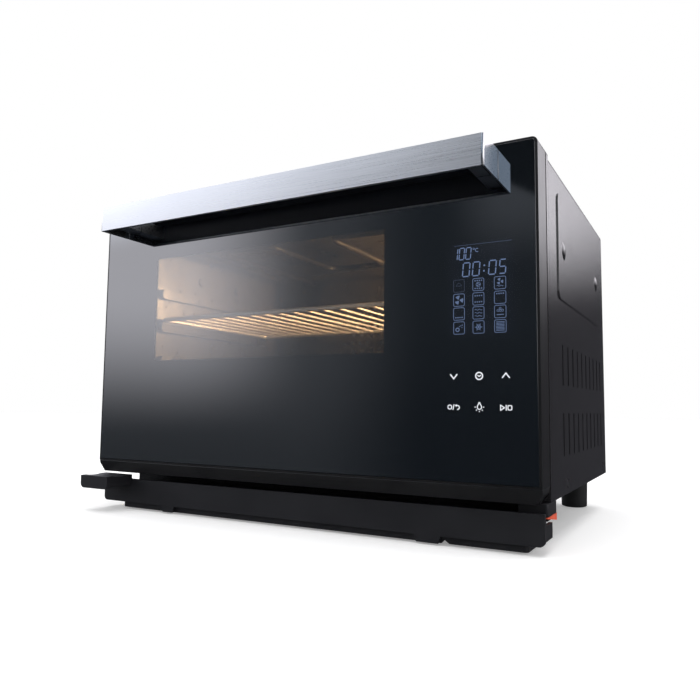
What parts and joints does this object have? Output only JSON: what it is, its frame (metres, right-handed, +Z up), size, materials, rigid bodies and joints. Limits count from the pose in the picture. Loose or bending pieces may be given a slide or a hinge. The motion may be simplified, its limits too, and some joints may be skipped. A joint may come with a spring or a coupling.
{
  "type": "toaster oven",
  "caption": "Countertop steam and toaster oven with a full-width drop-down glass door, steel bar handle, touch display, wire rack, water tank and pull-out drip tray.",
  "frame": {"origin": "centre of the footprint on the surface the oven stands on: halfway between the sides, halfway between the handle front and the rear screw heads", "axes": "+X to the right seen from the front, +Y towards the rear, +Z up"},
  "size_m": [0.5202, 0.3908, 0.35],
  "materials": {
    "casing_black": "satin powder coat",
    "cavity_enamel": "semi-gloss enamel",
    "steel_sheet": "plain galvanised sheet",
    "screw_steel": "dark zinc",
    "black_glass": "black back-printed tempered glass",
    "clear_glass": "clear tempered glass",
    "bulb_glass": "warm lamp glass",
    "door_plastic": "fine-textured moulding",
    "handle_steel": "horizontally brushed",
    "tray_plastic": "fine-textured moulding",
    "seal_rubber": "matt silicone",
    "foot_plastic": "matt moulding",
    "pad_rubber": "matt rubber",
    "plug_silicone": "orange silicone",
    "heater_metal": "heat-darkened tube",
    "fan_aluminium": "plain pressed sheet",
    "motor_metal": "laminated steel core",
    "lamp_ceramic": "unglazed white",
    "rack_chrome": "bright plated wire",
    "pipe_steel": "drawn tube",
    "wool_blanket": "fibre blanket",
    "pump_plastic": "moulded",
    "tank_plastic": "smoke-clear moulding",
    "board_green": "lacquered circuit board",
    "display_black": "dark display module"
  },
  "bodies": {
    "oven": {"casing_shell": "casing_black", "front_frame": "casing_black", "rear_panel": "casing_black", "base_pan": "casing_black", "cavity_liner": "cavity_enamel", "fan_cover": "cavity_enamel", "liner_supports": "steel_sheet", "hinge_brackets": "steel_sheet", "tank_shelf": "steel_sheet", "board_bracket": "steel_sheet", "motor_mount": "steel_sheet", "casing_screws": "screw_steel", "rear_screws": "screw_steel", "fan_cover_screws": "screw_steel", "lamp_lens": "clear_glass", "lamp_bulb": "bulb_glass", "tray_rails": "tray_plastic", "drain_block": "tray_plastic", "terminal_block": "tray_plastic", "cord_gland": "tray_plastic", "door_gasket": "seal_rubber", "water_hose": "seal_rubber", "feet": "foot_plastic", "foot_pads": "pad_rubber", "upper_heater": "heater_metal", "lower_heater": "heater_metal", "rear_heater": "heater_metal", "temperature_probe": "heater_metal", "steam_generator": "fan_aluminium", "fan_motor": "motor_metal", "lamp_housing": "lamp_ceramic", "steam_pipe": "pipe_steel", "drain_pipe": "pipe_steel", "insulation_wrap": "wool_blanket", "water_pump": "pump_plastic", "cooling_fan_frame": "pump_plastic", "power_board": "board_green"},
    "door": {"door_frame": "door_plastic", "door_outer_glass": "black_glass", "door_bottom_trim": "door_plastic", "door_back_panel": "steel_sheet", "door_inner_glass": "clear_glass", "glass_clips": "steel_sheet", "display_module": "display_black", "touch_board": "board_green", "display_carrier": "door_plastic", "hinge_arms": "steel_sheet", "hinge_pins": "screw_steel", "handle_shell": "handle_steel", "handle_liner": "door_plastic", "handle_standoffs": "handle_steel", "handle_screws": "screw_steel"},
    "rack": {"wire_rack": "rack_chrome"},
    "tank": {"water_tank": "tank_plastic"},
    "tray": {"drip_tray": "tray_plastic", "tray_fascia": "tray_plastic"},
    "plug": {"drain_plug": "plug_silicone"},
    "hot_air_fan": {"convection_fan": "fan_aluminium"},
    "cooling_fan": {"cooling_fan_rotor": "pump_plastic"}
  },
  "joints": [
    {"name": "door_hinge", "type": "hinge", "parent": "oven", "child": "door", "pos_m": [0, -0.1446, 0.062], "axis": [1, 0, 0], "range_deg": [0, 90]},
    {"name": "rack_slide", "type": "slide", "parent": "oven", "child": "rack", "axis": [0, -1, 0], "range_m": [0, 0.16]},
    {"name": "tank_slide", "type": "slide", "parent": "oven", "child": "tank", "axis": [0, -1, 0], "range_m": [0, 0.16]},
    {"name": "tray_slide", "type": "slide", "parent": "oven", "child": "tray", "axis": [0, -1, 0], "range_m": [0, 0.095]},
    {"name": "plug_pull", "type": "slide", "parent": "oven", "child": "plug", "axis": [1, 0, 0], "range_m": [0, 0.018]},
    {"name": "hot_air_fan_spin", "type": "hinge", "parent": "oven", "child": "hot_air_fan", "pos_m": [-0.03, 0.1354, 0.211], "axis": [0, 1, 0], "continuous": true},
    {"name": "cooling_fan_spin", "type": "hinge", "parent": "oven", "child": "cooling_fan", "pos_m": [0.2075, 0.1784, 0.103], "axis": [0, 1, 0], "continuous": true}
  ],
  "couplings": [
    {"joint": "rack_slide", "follows": "door_hinge", "m_per_rad": 0.1},
    {"joint": "tank_slide", "follows": "door_hinge", "m_per_rad": 0.1}
  ]
}
